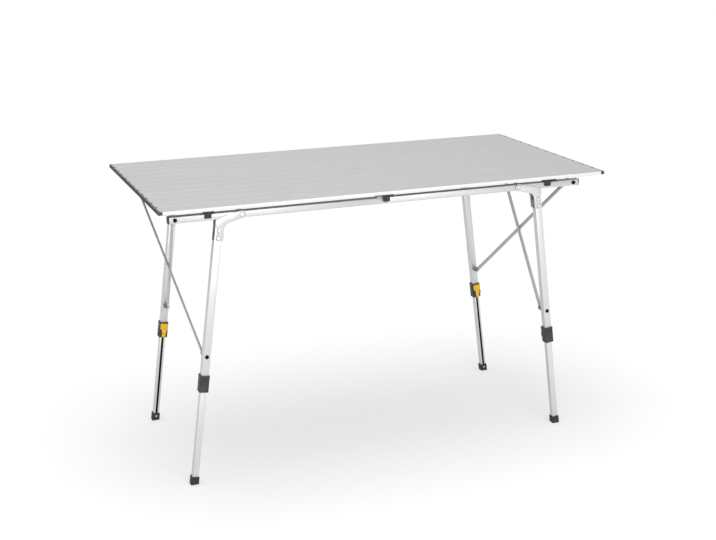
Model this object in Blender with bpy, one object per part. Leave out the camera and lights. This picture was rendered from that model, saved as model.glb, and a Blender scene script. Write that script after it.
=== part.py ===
"""Folding camp table with a roll-up slatted top, hinged rails, splayed
telescoping legs and a scissor brace at each end.

Metres, +Z up, X along the table, -Y the front. Origin on the floor under
the middle of the top.
"""
import math

import bmesh
import bpy
from mathutils import Matrix, Vector

GAP = 0.0003
# Top
TOP_LENGTH = 1.208
SLAT_COUNT = 12
SLAT_PITCH = 0.050
SLAT_GAP = 0.0006
SLAT_WIDTH = SLAT_PITCH - SLAT_GAP
TOP_Z = 0.742
SLAT_HEIGHT = 0.0092
SLAT_WALL = 0.0011
SLAT_LIP = 0.0075
CAP_LENGTH = 0.011
HALF_LENGTH = TOP_LENGTH / 2
# Clips between the top and the rails
CLIP_HEIGHT = 0.0217
CLIP_WIDTH = 0.0182
CLIP_ARM = 0.0155
CLIP_REACH = 0.0415
CLIP_WALL = 0.0030
CLIP_SETBACK = 0.1345
CLIP_X = HALF_LENGTH - CLIP_SETBACK
# Rails, under the middle of the second and the eleventh slat
RAIL_DEPTH = 0.019
RAIL_HEIGHT = 0.017
RAIL_WALL = 0.0014
RAIL_INSET = 0.0005
RAIL_SETBACK = 0.043
PLUG_LENGTH = 0.006
RAIL_Y = (SLAT_COUNT / 2 - 1.5) * SLAT_PITCH - RAIL_INSET
RAIL_Z = TOP_Z - SLAT_HEIGHT - CLIP_HEIGHT - 2 * GAP - RAIL_HEIGHT / 2
RAIL_TOP = RAIL_Z + RAIL_HEIGHT / 2
RAIL_END = HALF_LENGTH - RAIL_SETBACK
MIDDLE_GAP = 0.0012
# Middle hinge on top of the rails
LEAF_LENGTH = 0.026
LEAF_WIDTH = 0.0152
LEAF_THICK = 0.0018
KNUCKLE = 0.0032
HINGE_PIN = 0.0015
HINGE_Z = RAIL_TOP + 0.0040
# Pivots in the plane of each rail
KNEE_SETBACK = 0.221
KNEE_X = HALF_LENGTH - KNEE_SETBACK
KNEE_BORE = 0.0036
BRACE_SETBACK = 0.0535
BRACE_X = HALF_LENGTH - BRACE_SETBACK
BRACE_DROP = 0.359
BRACE_Z = RAIL_Z - BRACE_DROP
# Legs
SPLAY = math.radians(7.4)
LEG_SETBACK = 0.16535
LEG_TOP_X = HALF_LENGTH - LEG_SETBACK
LEG_TOP_DROP = 0.011
SLEEVE_DROP = 0.430
SLEEVE_Z = RAIL_Z - SLEEVE_DROP
UPPER = (0.0196, RAIL_DEPTH)
UPPER_WALL = 0.0013
SLACK = 0.00035
LOWER = tuple(side - 2 * (UPPER_WALL + SLACK) for side in UPPER)
LOWER_INSERT = 0.070
LOWER_WALL = 0.0035
SLEEVE_WALL = 0.0026
SLEEVE_HEIGHT = 0.044
SLEEVE_FLOOR = 0.0055
SLEEVE = (UPPER[0] + 2 * SLEEVE_WALL, UPPER[1] + 2 * SLEEVE_WALL, SLEEVE_HEIGHT)
FOOT_WALL = 0.0050
FOOT_HEIGHT = 0.020
FOOT_SOLE = 0.0057
FOOT = (LOWER[0] + 2 * FOOT_WALL, LOWER[1] + 2 * FOOT_WALL, FOOT_HEIGHT)
# Lever on the sleeve's inner face
LEVER_OUT = 0.0036
LEVER_DROP = 0.0045
LEVER_WIDTH = 0.0210
LEVER_RISE = 0.0192
LEVER_TAIL = 0.0200
# Knee brackets
PLATE = 0.0018
PLATE_IN = RAIL_DEPTH / 2 + GAP
KNEE_EYE = 0.0095
KNEE_PIN = 0.0030
RIVET_DROP = 0.0365
RIVET_PITCH = 0.0190
RIVET_SHIFT = 0.0008
RIVET_DROPS = (RIVET_DROP, RIVET_DROP + RIVET_PITCH)
RIVET = 0.0022
BRACKET_DROP = 0.0630
# Braces
BAR_OFFSET = 0.0150
BAR_DEPTH = 0.0084
BAR_THICK = 0.0044
BAR_EYE = 0.0019
CHEEK = 0.0018
FORK_BASE = 0.0078

PARTS = None
CUTTERS = None
COLOURS = {
    "slat": (0.60, 0.61, 0.62, 1.0, 0.9, 0.38),
    "rail": (0.78, 0.79, 0.80, 1.0, 0.9, 0.35),
    "leg": (0.78, 0.79, 0.80, 1.0, 0.9, 0.35),
    "bracket": (0.70, 0.71, 0.72, 1.0, 0.9, 0.35),
    "bar": (0.33, 0.34, 0.35, 1.0, 0.6, 0.40),
    "black": (0.03, 0.03, 0.032, 1.0, 0.0, 0.55),
    "lever": (0.95, 0.52, 0.03, 1.0, 0.0, 0.40),
}


def clear_scene():
    for obj in list(bpy.data.objects):
        bpy.data.objects.remove(obj, do_unlink=True)


def collection(name):
    made = bpy.data.collections.new(name)
    bpy.context.scene.collection.children.link(made)
    return made


def material_for(name, look):
    r, g, b, a, metal, rough = COLOURS[look]
    mat = bpy.data.materials.new(name)
    mat.use_nodes = True
    shader = mat.node_tree.nodes["Principled BSDF"]
    shader.inputs["Base Color"].default_value = (r, g, b, a)
    shader.inputs["Metallic"].default_value = metal
    shader.inputs["Roughness"].default_value = rough
    return mat


def place(obj, name, look):
    """Names a shape, gives it its own material and puts it with the parts."""
    obj.name = name
    obj.data.name = name
    for col in list(obj.users_collection):
        col.objects.unlink(obj)
    PARTS.objects.link(obj)
    obj.data.materials.clear()
    obj.data.materials.append(material_for(name, look))
    obj.data.set_sharp_from_angle(angle=math.radians(35))
    return obj


def box(x0, x1, y0, y1, z0, z1, bevel=0.0, segments=1, edges=None):
    """A box between two corners, bevelled on all edges or on those that
    the test function picks."""
    bpy.ops.mesh.primitive_cube_add(size=1)
    obj = bpy.context.object
    mesh = obj.data
    size = (abs(x1 - x0), abs(y1 - y0), abs(z1 - z0))
    mesh.transform(Matrix.Diagonal((*size, 1)))
    mesh.transform(Matrix.Translation(((x0 + x1) / 2, (y0 + y1) / 2, (z0 + z1) / 2)))
    if bevel:
        bm = bmesh.new()
        bm.from_mesh(mesh)
        chosen = [e for e in bm.edges if edges is None or edges(e)]
        bmesh.ops.bevel(bm, geom=chosen, offset=bevel, segments=segments,
                        affect="EDGES", profile=0.5)
        bm.to_mesh(mesh)
        bm.free()
    return obj


def along(axis):
    """Picks the edges of a box that run along one axis."""
    def test(edge):
        run = edge.verts[0].co - edge.verts[1].co
        return abs(run[axis]) > abs(run[(axis + 1) % 3]) + abs(run[(axis + 2) % 3])
    return test


def cylinder(radius, length, sides=16, axis="Z", centre=(0, 0, 0)):
    bpy.ops.mesh.primitive_cylinder_add(radius=radius, depth=length, vertices=sides)
    obj = bpy.context.object
    if axis == "X":
        obj.data.transform(Matrix.Rotation(math.pi / 2, 4, "Y"))
    elif axis == "Y":
        obj.data.transform(Matrix.Rotation(math.pi / 2, 4, "X"))
    obj.data.transform(Matrix.Translation(centre))
    return obj


def outline(points, depth, name="outline"):
    """A flat outline in X and Z, extruded along Y about Y = 0."""
    curve = bpy.data.curves.new(name, "CURVE")
    curve.dimensions = "2D"
    curve.fill_mode = "BOTH"
    curve.extrude = depth / 2
    spline = curve.splines.new("POLY")
    spline.points.add(len(points) - 1)
    for point, (x, z) in zip(spline.points, points):
        point.co = (x, z, 0, 1)
    spline.use_cyclic_u = True
    obj = bpy.data.objects.new(name, curve)
    bpy.context.scene.collection.objects.link(obj)
    graph = bpy.context.evaluated_depsgraph_get()
    mesh = bpy.data.meshes.new_from_object(obj.evaluated_get(graph))
    bm = bmesh.new()
    bm.from_mesh(mesh)
    bmesh.ops.remove_doubles(bm, verts=bm.verts, dist=0.00001)
    bmesh.ops.recalc_face_normals(bm, faces=bm.faces)
    bm.to_mesh(mesh)
    bm.free()
    mesh.transform(Matrix.Rotation(math.pi / 2, 4, "X"))
    bpy.data.objects.remove(obj, do_unlink=True)
    solid = bpy.data.objects.new(name, mesh)
    bpy.context.scene.collection.objects.link(solid)
    return solid


def boolean(obj, others, operation):
    """Applies exact Booleans, so that the finished solid carries no modifier."""
    for other in others:
        mod = obj.modifiers.new("cut", "BOOLEAN")
        mod.operation = operation
        mod.solver = "EXACT"
        mod.object = other
    graph = bpy.context.evaluated_depsgraph_get()
    mesh = bpy.data.meshes.new_from_object(obj.evaluated_get(graph))
    obj.modifiers.clear()
    obj.data = mesh
    for other in others:
        bpy.data.objects.remove(other, do_unlink=True)
    return obj


def join(obj, *others):
    return boolean(obj, others, "UNION")


def cut(obj, *others):
    return boolean(obj, others, "DIFFERENCE")


def copy_of(obj):
    twin = bpy.data.objects.new(obj.name + "_copy", obj.data.copy())
    bpy.context.scene.collection.objects.link(twin)
    return twin


def mirrored(obj, axis):
    """A mirrored twin with its faces turned to point out again."""
    twin = copy_of(obj)
    scale = [1, 1, 1]
    scale[axis] = -1
    twin.data.transform(Matrix.Diagonal((*scale, 1)))
    twin.data.flip_normals()
    return twin


def quadrants(make, look, name):
    """One shape made for the front left corner and mirrored to the others."""
    first = make()
    front_right = mirrored(first, 0)
    rear_left = mirrored(first, 1)
    rear_right = mirrored(rear_left, 0)
    for obj, where in ((first, "front_left"), (front_right, "front_right"),
                       (rear_left, "rear_left"), (rear_right, "rear_right")):
        place(obj, f"{name}_{where}", look)


def leg_x(z):
    """Distance of a leg's axis from the table's middle at a height."""
    return LEG_TOP_X + (RAIL_Z - z) * math.tan(SPLAY)


# Leg axis frame at the front left corner: local Z runs up the leg
LEG_START = Vector((-leg_x(SLEEVE_Z), -RAIL_Y, SLEEVE_Z))
LEG_FRAME = Matrix.Translation(LEG_START) @ Matrix.Rotation(SPLAY, 4, "Y")


def on_leg(obj):
    obj.data.transform(LEG_FRAME)
    return obj


def up_leg(z):
    """Distance up the leg from the sleeve of its axis point at a height."""
    return (LEG_FRAME.inverted() @ Vector((-leg_x(z), -RAIL_Y, z))).z


LEG_END = up_leg(0.0)


def make_slat(index):
    """One hollow slat: rounded top edges, a fine groove pair in the top,
    an open channel below between two rolled-in feet, and end caps."""
    half = SLAT_WIDTH / 2
    y = (index - (SLAT_COUNT + 1) / 2) * SLAT_PITCH
    top, low = TOP_Z, TOP_Z - SLAT_HEIGHT
    rim = 0.0016
    groove = 0.0004
    rib = 0.0016
    # Half of the extrusion's section, from the centre line outwards
    half_profile = [
        (0.0080, top), (0.0080 + groove, top - groove), (0.0080 + 2 * groove, top),
        (half - rim, top), (half - rim / 3, top - rim / 3), (half, top - rim),
        (half, low + 0.0006), (half - 0.0006, low),
        (half - SLAT_LIP, low), (half - SLAT_LIP, low + SLAT_WALL),
        (half - SLAT_WALL, low + SLAT_WALL), (half - SLAT_WALL, top - rim - 0.0006),
        (half - 0.0024, top - SLAT_WALL), (rib, top - SLAT_WALL),
        (rib, low + 0.0030), (rib + SLAT_WALL, low + 0.0014), (rib + SLAT_WALL, low),
    ]
    points = half_profile + [(-a, b) for a, b in reversed(half_profile)]
    overlap = 0.002
    slat = outline(points, TOP_LENGTH - 2 * (CAP_LENGTH - overlap), "slat")
    slat.data.transform(Matrix.Rotation(math.pi / 2, 4, "Z"))
    slat.data.transform(Matrix.Translation((0, y, 0)))
    inset = 0.0002
    caps = [box(side * (HALF_LENGTH - CAP_LENGTH), side * HALF_LENGTH,
                y - half + inset, y + half - inset, low + inset, top - inset,
                0.0014, 1, along(0)) for side in (-1, 1)]
    join(slat, *caps)
    return place(slat, f"slat_{index:02d}", "slat")


def make_clip(x, middle):
    """A moulded clip under the second slat: a block on the rail, an arm that
    reaches forward under the first slat, and a tongue down the rail's face.
    The middle one is hollow over the rail hinge."""
    low = RAIL_TOP + GAP
    high = low + CLIP_HEIGHT
    outer = -(RAIL_Y + RAIL_DEPTH / 2)
    inner = -(RAIL_Y - RAIL_DEPTH / 2)
    half = CLIP_WIDTH / 2
    front = outer - GAP - CLIP_WALL
    block = box(x - half, x + half, front, inner - 0.001, low, high, 0.0020, 1, along(2))
    arm = box(x - half, x + half, outer - CLIP_REACH, outer + 0.006, high - CLIP_ARM,
              high, 0.0020, 1, along(0))
    tongue = box(x - half, x + half, front, outer - GAP, RAIL_Z - 0.0025, low + 0.004,
                 CLIP_WALL / 3, 1, along(1))
    join(block, arm, tongue)
    past = 0.01
    if middle:
        hollow = box(x - half - past, x + half + past, outer + CLIP_WALL / 2,
                     inner + past, low - past, HINGE_Z + KNUCKLE + 0.0021)
    else:
        hollow = box(x - half * 0.64, x + half * 0.64, outer + CLIP_WALL,
                     inner + past, low + CLIP_WALL, high - 0.0025)
    return cut(block, hollow)


def make_clips():
    for x, where in ((-CLIP_X, "left"), (0.0, "middle"), (CLIP_X, "right")):
        front = make_clip(x, where == "middle")
        rear = mirrored(front, 1)
        place(front, f"clip_front_{where}", "black")
        place(rear, f"clip_rear_{where}", "black")


def make_rail_half():
    """Left half of the front rail: square tube with rounded edges, end plug
    with a rim, pin cap on the outer face and the bore of the knee pivot."""
    h, d, w = RAIL_HEIGHT / 2, RAIL_DEPTH / 2, RAIL_WALL
    tube = box(-RAIL_END, -MIDDLE_GAP, -RAIL_Y - d, -RAIL_Y + d, RAIL_Z - h, RAIL_TOP,
               0.0016, 2, along(0))
    bore = box(-RAIL_END + 0.020, 0.01, -RAIL_Y - d + w, -RAIL_Y + d - w,
               RAIL_Z - h + w, RAIL_TOP - w)
    cut(tube, bore)
    inset = 0.0006
    plug = box(-RAIL_END - PLUG_LENGTH, -RAIL_END + 0.004, -RAIL_Y - d + inset,
               -RAIL_Y + d - inset, RAIL_Z - h + inset, RAIL_TOP - inset, 0.0015, 1)
    cap = cylinder(0.0046, 0.004, 14, "Y", (-BRACE_X, -RAIL_Y - d - 0.0004, RAIL_Z))
    join(tube, plug, cap)
    through = RAIL_DEPTH * 2
    return cut(tube, cylinder(KNEE_BORE, through, 14, "Y", (-KNEE_X, -RAIL_Y, RAIL_Z)))


def leaf(side, y0, y1):
    """A hinge leaf on a rail's top face, its knuckles and the leaf's rivets."""
    z0 = RAIL_TOP + (GAP if side < 0 else -0.0004)
    high = RAIL_TOP + LEAF_THICK
    plate = box(side * LEAF_LENGTH, side * (MIDDLE_GAP + 0.001),
                -RAIL_Y - LEAF_WIDTH / 2, -RAIL_Y + LEAF_WIDTH / 2,
                z0, high, 0.0008, 1, along(2))
    neck = box(side * MIDDLE_GAP, side * (KNUCKLE + 0.0028), -RAIL_Y - LEAF_WIDTH,
               -RAIL_Y + LEAF_WIDTH, z0 - 0.002, high + 0.002)
    cut(plate, neck)
    parts = []
    for a, b in zip(y0, y1):
        parts.append(cylinder(KNUCKLE, b - a, 14, "Y", (0, -RAIL_Y + (a + b) / 2, HINGE_Z)))
        parts.append(box(0, side * (KNUCKLE + 0.0048), -RAIL_Y + a, -RAIL_Y + b,
                         RAIL_TOP + 2 * GAP, high))
        parts.append(box(side * 0.0006, side * (KNUCKLE - 0.0002), -RAIL_Y + a,
                         -RAIL_Y + b, RAIL_TOP + 0.0008, HINGE_Z))
    for s in (-1, 1):
        parts.append(cylinder(RIVET, 0.0016, 8, "Z", (side * (LEAF_LENGTH - 0.007),
                                                      -RAIL_Y + s * LEAF_WIDTH / 4,
                                                      high + 0.0004)))
    return plate, parts


def make_hinge():
    """Left leaf of the middle hinge with its two knuckles and the pin."""
    edge, mid = LEAF_WIDTH / 2, LEAF_WIDTH / 5
    plate, parts = leaf(-1, (-edge, mid), (-mid, edge))
    pin = cylinder(HINGE_PIN, LEAF_WIDTH + 0.0006, 10, "Y", (0, -RAIL_Y, HINGE_Z))
    return join(plate, *parts, pin)


def make_right_leaf():
    mid = LEAF_WIDTH / 5 - GAP
    plate, parts = leaf(1, (-mid,), (mid,))
    join(plate, *parts)
    bore = cylinder(HINGE_PIN + GAP, LEAF_WIDTH * 2, 10, "Y", (0, -RAIL_Y, HINGE_Z))
    return cut(plate, bore)


def make_rails():
    front_left = make_rail_half()
    front_right = mirrored(front_left, 0)
    join(front_right, make_right_leaf())
    rear_left = mirrored(front_left, 1)
    rear_right = mirrored(front_right, 1)
    hinge = make_hinge()
    rear_hinge = mirrored(hinge, 1)
    place(front_left, "rail_front_left", "rail")
    place(front_right, "rail_front_right", "rail")
    place(rear_left, "rail_rear_left", "rail")
    place(rear_right, "rail_rear_right", "rail")
    place(hinge, "middle_hinge_front", "bracket")
    place(rear_hinge, "middle_hinge_rear", "bracket")


def ring(cx, cz, radius, start, stop, steps):
    """Points of an arc from one angle to another, in degrees."""
    out = []
    for i in range(steps + 1):
        a = math.radians(start + (stop - start) * i / steps)
        out.append((cx + radius * math.cos(a), cz + radius * math.sin(a)))
    return out


def off_leg(drop, across):
    """A point below the rail's axis, offset from the leg's axis."""
    z = RAIL_Z - drop
    return -leg_x(z) + across, z


def make_bracket():
    """Knee bracket: two pressed plates that narrow down the leg, joined by a
    web on the leg's inner side, the pivot pin through the rail and two rivets
    through the leg."""
    u = UPPER[0] / 2
    span = LEG_TOP_X - KNEE_X
    bend = off_leg(0.0145, -0.0021)
    foot = BRACKET_DROP
    points = ring(-KNEE_X, RAIL_Z, KNEE_EYE, -75, 105, 6)
    points += [(-KNEE_X - 0.467 * span, RAIL_Z + 0.0048), off_leg(0.0008, u - 0.0010)]
    points += ring(*bend, 0.0085, 95, 172, 3)
    points += [off_leg(0.0230, -u - 0.0002), off_leg(0.0295, -u / 2)]
    points += [off_leg(foot - 0.0030, -0.0042), off_leg(foot - 0.0010, -0.0022)]
    points += [off_leg(foot, u + 0.0014), off_leg(foot - 0.0016, u + 0.0034)]
    points += [off_leg(0.0380, u + 0.0034), off_leg(0.0298, u + 0.0042)]
    points += [off_leg(0.0240, u + 0.0067), off_leg(0.0178, u + 0.0127)]
    outer = outline(points, PLATE)
    outer.data.transform(Matrix.Translation((0, -RAIL_Y - PLATE_IN - PLATE / 2, 0)))
    inner = copy_of(outer)
    inner.data.transform(Matrix.Translation((0, 2 * PLATE_IN + PLATE, 0)))
    depth = 2 * (PLATE_IN + PLATE)
    pin = cylinder(KNEE_PIN, depth + 0.002, 12, "Y", (-KNEE_X, -RAIL_Y, RAIL_Z))
    heads = [cylinder(KNEE_PIN + 0.0022, 0.0030, 12, "Y",
                      (-KNEE_X, -RAIL_Y + s * (PLATE_IN + PLATE), RAIL_Z)) for s in (-1, 1)]
    web = box(u + 0.0006, u + 0.0022, -depth / 2 + 0.0004, depth / 2 - 0.0004,
              up_leg(RAIL_Z - foot + 0.0035), up_leg(RAIL_Z - RIVET_DROP + 0.0005))
    on_leg(web)
    rivets = []
    for drop in RIVET_DROPS:
        x, z = off_leg(drop, RIVET_SHIFT)
        rivets.append(cylinder(RIVET, depth + 0.001, 8, "Y", (x, -RAIL_Y, z)))
        for s in (-1, 1):
            rivets.append(cylinder(RIVET + 0.0016, 0.0026, 8, "Y",
                                   (x, -RAIL_Y + s * (PLATE_IN + PLATE), z)))
    return join(outer, inner, pin, *heads, web, *rivets)


def make_upper_leg():
    """Upper leg tube, open at the sleeve end, bored for the two rivets, with
    the cap of the brace's pin on its outer face."""
    z_top = up_leg(RAIL_Z - LEG_TOP_DROP)
    z_low = -SLEEVE_HEIGHT / 2 + SLEEVE_FLOOR + 0.0005
    u, v, w = UPPER[0] / 2, UPPER[1] / 2, UPPER_WALL
    tube = box(-u, u, -v, v, z_low, z_top, 0.0018, 2, along(2))
    bore = box(-u + w, u - w, -v + w, v - w, z_low - 0.01, z_top - 0.003)
    on_leg(tube)
    on_leg(bore)
    cut(tube, bore)
    drills = []
    for drop in RIVET_DROPS:
        x, z = off_leg(drop, RIVET_SHIFT)
        drills.append(cylinder(RIVET + GAP, UPPER[1] * 2, 10, "Y", (x, -RAIL_Y, z)))
    cut(tube, *drills)
    cap = cylinder(0.0045, 0.0030, 14, "Y", (-leg_x(BRACE_Z), -RAIL_Y - v - 0.0003, BRACE_Z))
    return join(tube, cap)


def make_sleeve():
    """Latch sleeve round the tube's lower end, with the lever's two ears."""
    x, y, z = SLEEVE[0] / 2, SLEEVE[1] / 2, SLEEVE[2] / 2
    body = box(-x, x, -y, y, -z, z, 0.0018, 2, along(2))
    upper = box(-UPPER[0] / 2 - GAP, UPPER[0] / 2 + GAP, -UPPER[1] / 2 - GAP,
                UPPER[1] / 2 + GAP, -z + SLEEVE_FLOOR, z + 0.01)
    throat = box(-LOWER[0] / 2 - GAP, LOWER[0] / 2 + GAP, -LOWER[1] / 2 - GAP,
                 LOWER[1] / 2 + GAP, -z - 0.01, z)
    rim = 0.0006
    lip = box(-x - rim, x + rim, -y - rim, y + rim, z - 0.0045, z - 0.0010,
              0.0010, 1, along(2))
    skirt = box(-x - rim, x + rim, -y - rim, y + rim, -z, -z + 0.0030, 0.0010, 1, along(2))
    ear_x = LEVER_WIDTH / 2 - 0.0023
    pin_z = -LEVER_DROP
    ears = [box(s * ear_x - 0.0014, s * ear_x + 0.0014, y - 0.002, y + LEVER_OUT + 0.0034,
                pin_z - 0.0055, pin_z + 0.0060, 0.0020, 1, along(0)) for s in (-1, 1)]
    join(body, lip, skirt, *ears)
    cut(body, upper, throat)
    cut(body, cylinder(0.0015, LEVER_WIDTH * 2, 8, "X", (0, y + LEVER_OUT, pin_z)))
    # Pocket that the lever's tail is pressed into
    cut(body, box(-0.0058, 0.0058, y - 0.0011, y + 0.01, -LEVER_TAIL - 0.0006,
                  pin_z - 0.0059))
    return on_leg(body)


def make_lever():
    """Rocking lever: wide thumb pad above the pin, narrow tongue below it."""
    y = SLEEVE[1] / 2
    pin_z = -LEVER_DROP
    half, rise = LEVER_WIDTH / 2, LEVER_RISE
    pad = box(-half, half, y + 0.0010, y + 0.0048, pin_z + 0.0065, rise, 0.0014, 1)
    lip = box(-half + 0.0013, half - 0.0013, y + 0.0022, y + 0.0078, rise - 0.0030,
              rise - 0.0002, 0.0012, 1, along(0))
    stem = box(-half + 0.0041, half - 0.0041, y + 0.0012, y + 0.0062, pin_z - 0.0037,
               pin_z + 0.0095, 0.0012, 1, along(2))
    tongue = box(-half + 0.0055, half - 0.0055, y + 0.0016, y + 0.0044, -LEVER_TAIL,
                 pin_z - 0.0015, 0.0010, 1, along(2))
    barrel = cylinder(0.0030, LEVER_WIDTH - 0.0084, 12, "X", (0, y + LEVER_OUT, pin_z))
    pin = cylinder(0.0012, LEVER_WIDTH - 0.0024, 8, "X", (0, y + LEVER_OUT, pin_z))
    join(pad, lip, stem, tongue, barrel, pin)
    return on_leg(pad)


def make_lower_leg():
    """Lower leg tube with a shallow groove down its inner face."""
    u, v, w = LOWER[0] / 2, LOWER[1] / 2, LOWER_WALL
    tube = box(-u, u, -v, v, LEG_END + FOOT_SOLE + GAP, LOWER_INSERT, 0.0016, 2, along(2))
    bore = box(-u + w, u - w, -v + w, v - w, 0.02, LOWER_INSERT + 0.02)
    groove = box(-0.0024, 0.0024, v - 0.0012, v + 0.01, LEG_END + FOOT_HEIGHT + 0.003,
                 LOWER_INSERT - 0.01)
    cut(tube, bore, groove)
    return on_leg(tube)


def make_foot():
    """Rubber foot: cut level at the floor, with a stepped collar."""
    low = LEG_END
    x, y = FOOT[0] / 2, FOOT[1] / 2
    step = 0.0018
    shoe = box(-x, x, -y, y, low - 0.012, low + FOOT_HEIGHT, 0.0024, 2, along(2))
    collar = box(-x + step, x - step, -y + step, y - step, low + FOOT_HEIGHT - 0.004,
                 low + FOOT_HEIGHT + 0.0030, step, 1, along(2))
    join(shoe, collar)
    socket = box(-LOWER[0] / 2 - GAP, LOWER[0] / 2 + GAP, -LOWER[1] / 2 - GAP,
                 LOWER[1] / 2 + GAP, low + FOOT_SOLE, low + FOOT_HEIGHT + 0.03)
    cut(shoe, socket)
    on_leg(shoe)
    reach = 3 * FOOT[0]
    cut(shoe, box(LEG_FOOT_X - reach, LEG_FOOT_X + reach, -RAIL_Y - reach,
                  -RAIL_Y + reach, -reach, 0.0))
    return shoe


LEG_FOOT_X = -leg_x(0.0)

# Brace plane: local X along the line from the leg pivot up to the rail
# pivot, local Y across the table, local Z square to both
LEG_PIVOT = Vector((-leg_x(BRACE_Z), 0, BRACE_Z))
RAIL_PIVOT = Vector((-BRACE_X, 0, RAIL_Z))
RUN = RAIL_PIVOT - LEG_PIVOT
ALONG = RUN.normalized()
ACROSS = Vector((0, 1, 0))
NORMAL = ALONG.cross(ACROSS)
HALF_SPAN = RAIL_Y - RAIL_DEPTH / 2 - BAR_OFFSET
BAR_LENGTH = math.hypot(RUN.length, 2 * HALF_SPAN)
BAR_SPLIT = BAR_THICK / 2 + GAP / 2
CHEEK_IN = BAR_THICK / 2 + GAP


def brace_frame(front_low, offset):
    """Frame of one bar at the left end. Its origin is the leg pivot and its
    X runs to the rail pivot on the other side."""
    y = -HALF_SPAN if front_low else HALF_SPAN
    start = Vector((LEG_PIVOT.x, y, LEG_PIVOT.z))
    direction = RUN + Vector((0, -2 * y, 0))
    x = direction.normalized()
    z = NORMAL.copy()
    rot = Matrix((x, z.cross(x), z)).transposed().to_4x4()
    return Matrix.Translation(start + NORMAL * offset) @ rot


def make_bar(front_low, side):
    """A flat brace bar with rounded ends, eyes at both ends and half of the
    middle rivet on its outer side."""
    half = BAR_DEPTH / 2
    points = ring(0, 0, half, 90, 270, 5) + ring(BAR_LENGTH, 0, half, -90, 90, 5)
    bar = outline(points, BAR_THICK)
    bar.data.transform(Matrix.Rotation(-math.pi / 2, 4, "X"))
    rivet = cylinder(0.0058, 0.0030, 14, "Z", (BAR_LENGTH / 2, 0, side * (BAR_THICK / 2)))
    join(bar, rivet)
    for x in (0, BAR_LENGTH):
        cut(bar, cylinder(BAR_EYE, BAR_THICK * 4, 10, "Z", (x, 0, 0)))
    bar.data.transform(brace_frame(front_low, side * BAR_SPLIT))
    return bar


def make_fork(pivot, y_sign, side):
    """Swivel fork: round base on the tube's inner face, two cheeks and a pin.
    y_sign points from the tube into the table."""
    base_y = BAR_OFFSET - GAP
    frame = Matrix((ALONG, ACROSS * y_sign, ALONG.cross(ACROSS * y_sign))).transposed()
    mid = side * BAR_SPLIT * y_sign
    base = cylinder(FORK_BASE, 0.0030, 12, "Y", (0, -base_y + 0.0015, 0))
    half = BAR_DEPTH / 2 + 0.0006

    def nose(edge):
        a, b = edge.verts
        return along(2)(edge) and a.co.y + b.co.y > 0

    cheeks = []
    for s in (-1, 1):
        z = mid + s * (CHEEK_IN + CHEEK / 2)
        cheeks.append(box(-half, half, -base_y + 0.0010, 0.0046, z - CHEEK / 2,
                          z + CHEEK / 2, 0.0034, 2, nose))
    pin = cylinder(BAR_EYE - GAP, 2 * (CHEEK_IN + CHEEK + 0.0006), 8, "Z", (0, 0, mid))
    join(base, *cheeks, pin)
    base.data.transform(frame.to_4x4())
    base.data.transform(Matrix.Translation(pivot))
    return base


def make_braces():
    """Left end: the bar that rises from the front leg lies outside, the one
    from the rear leg inside. At the right end the front bar lies inside."""
    outward = 1 if NORMAL.x < 0 else -1
    for front_low, side, where in ((True, outward, "front"), (False, -outward, "rear")):
        other = "rear" if front_low else "front"
        leg_y = -HALF_SPAN if front_low else HALF_SPAN
        turn = 1 if front_low else -1
        low_at = Vector((LEG_PIVOT.x, leg_y, LEG_PIVOT.z))
        high_at = Vector((RAIL_PIVOT.x, -leg_y, RAIL_PIVOT.z))
        place(make_bar(front_low, side), f"brace_{where}_left", "bar")
        place(make_fork(low_at, turn, side), f"leg_fork_{where}_left", "black")
        place(make_fork(high_at, -turn, side), f"rail_fork_{other}_left", "black")
        for obj, name, look in (
                (make_bar(front_low, -side), f"brace_{where}_right", "bar"),
                (make_fork(low_at, turn, -side), f"leg_fork_{where}_right", "black"),
                (make_fork(high_at, -turn, -side), f"rail_fork_{other}_right", "black")):
            twin = mirrored(obj, 0)
            bpy.data.objects.remove(obj, do_unlink=True)
            place(twin, name, look)


clear_scene()
PARTS = collection("folding_camp_table")
CUTTERS = collection("cutters")
for number in range(1, SLAT_COUNT + 1):
    make_slat(number)
make_clips()
make_rails()
quadrants(make_bracket, "bracket", "knee_bracket")
quadrants(make_upper_leg, "leg", "upper_leg")
quadrants(make_sleeve, "black", "sleeve")
quadrants(make_lever, "lever", "lever")
quadrants(make_lower_leg, "leg", "lower_leg")
quadrants(make_foot, "black", "foot")
make_braces()
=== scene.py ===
"""Looks of the folding camp table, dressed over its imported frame.

Each piece is modelled once at the front left corner, or as the first of its
row, then copied and mirrored to its other places.
"""
import math

import bmesh
import bpy
from mathutils import Matrix, Vector


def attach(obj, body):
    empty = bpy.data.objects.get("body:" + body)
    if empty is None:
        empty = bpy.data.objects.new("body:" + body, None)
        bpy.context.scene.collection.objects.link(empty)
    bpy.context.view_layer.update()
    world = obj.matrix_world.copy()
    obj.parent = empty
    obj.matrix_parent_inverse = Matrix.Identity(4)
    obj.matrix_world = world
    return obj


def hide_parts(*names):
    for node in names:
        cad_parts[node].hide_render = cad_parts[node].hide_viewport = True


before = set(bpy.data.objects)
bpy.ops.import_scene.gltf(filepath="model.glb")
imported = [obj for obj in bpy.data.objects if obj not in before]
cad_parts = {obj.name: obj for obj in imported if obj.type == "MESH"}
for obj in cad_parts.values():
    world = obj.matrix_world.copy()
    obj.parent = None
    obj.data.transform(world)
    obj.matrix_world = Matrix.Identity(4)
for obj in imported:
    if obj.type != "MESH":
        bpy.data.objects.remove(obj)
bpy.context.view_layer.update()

# Sizes of the table, in metres
HALF_LENGTH = 0.604
METAL_END = 0.600
SLAT_COUNT = 12
SLAT_PITCH = 0.050
SLAT_HALF = 0.0247
SLAT_WALL = 0.0011
SLAT_LIP = 0.0075
SLAT_ROUND = 0.0016
SLAT_GROOVES = (0.0080, 0.0160)
NICK = 0.0060
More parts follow.
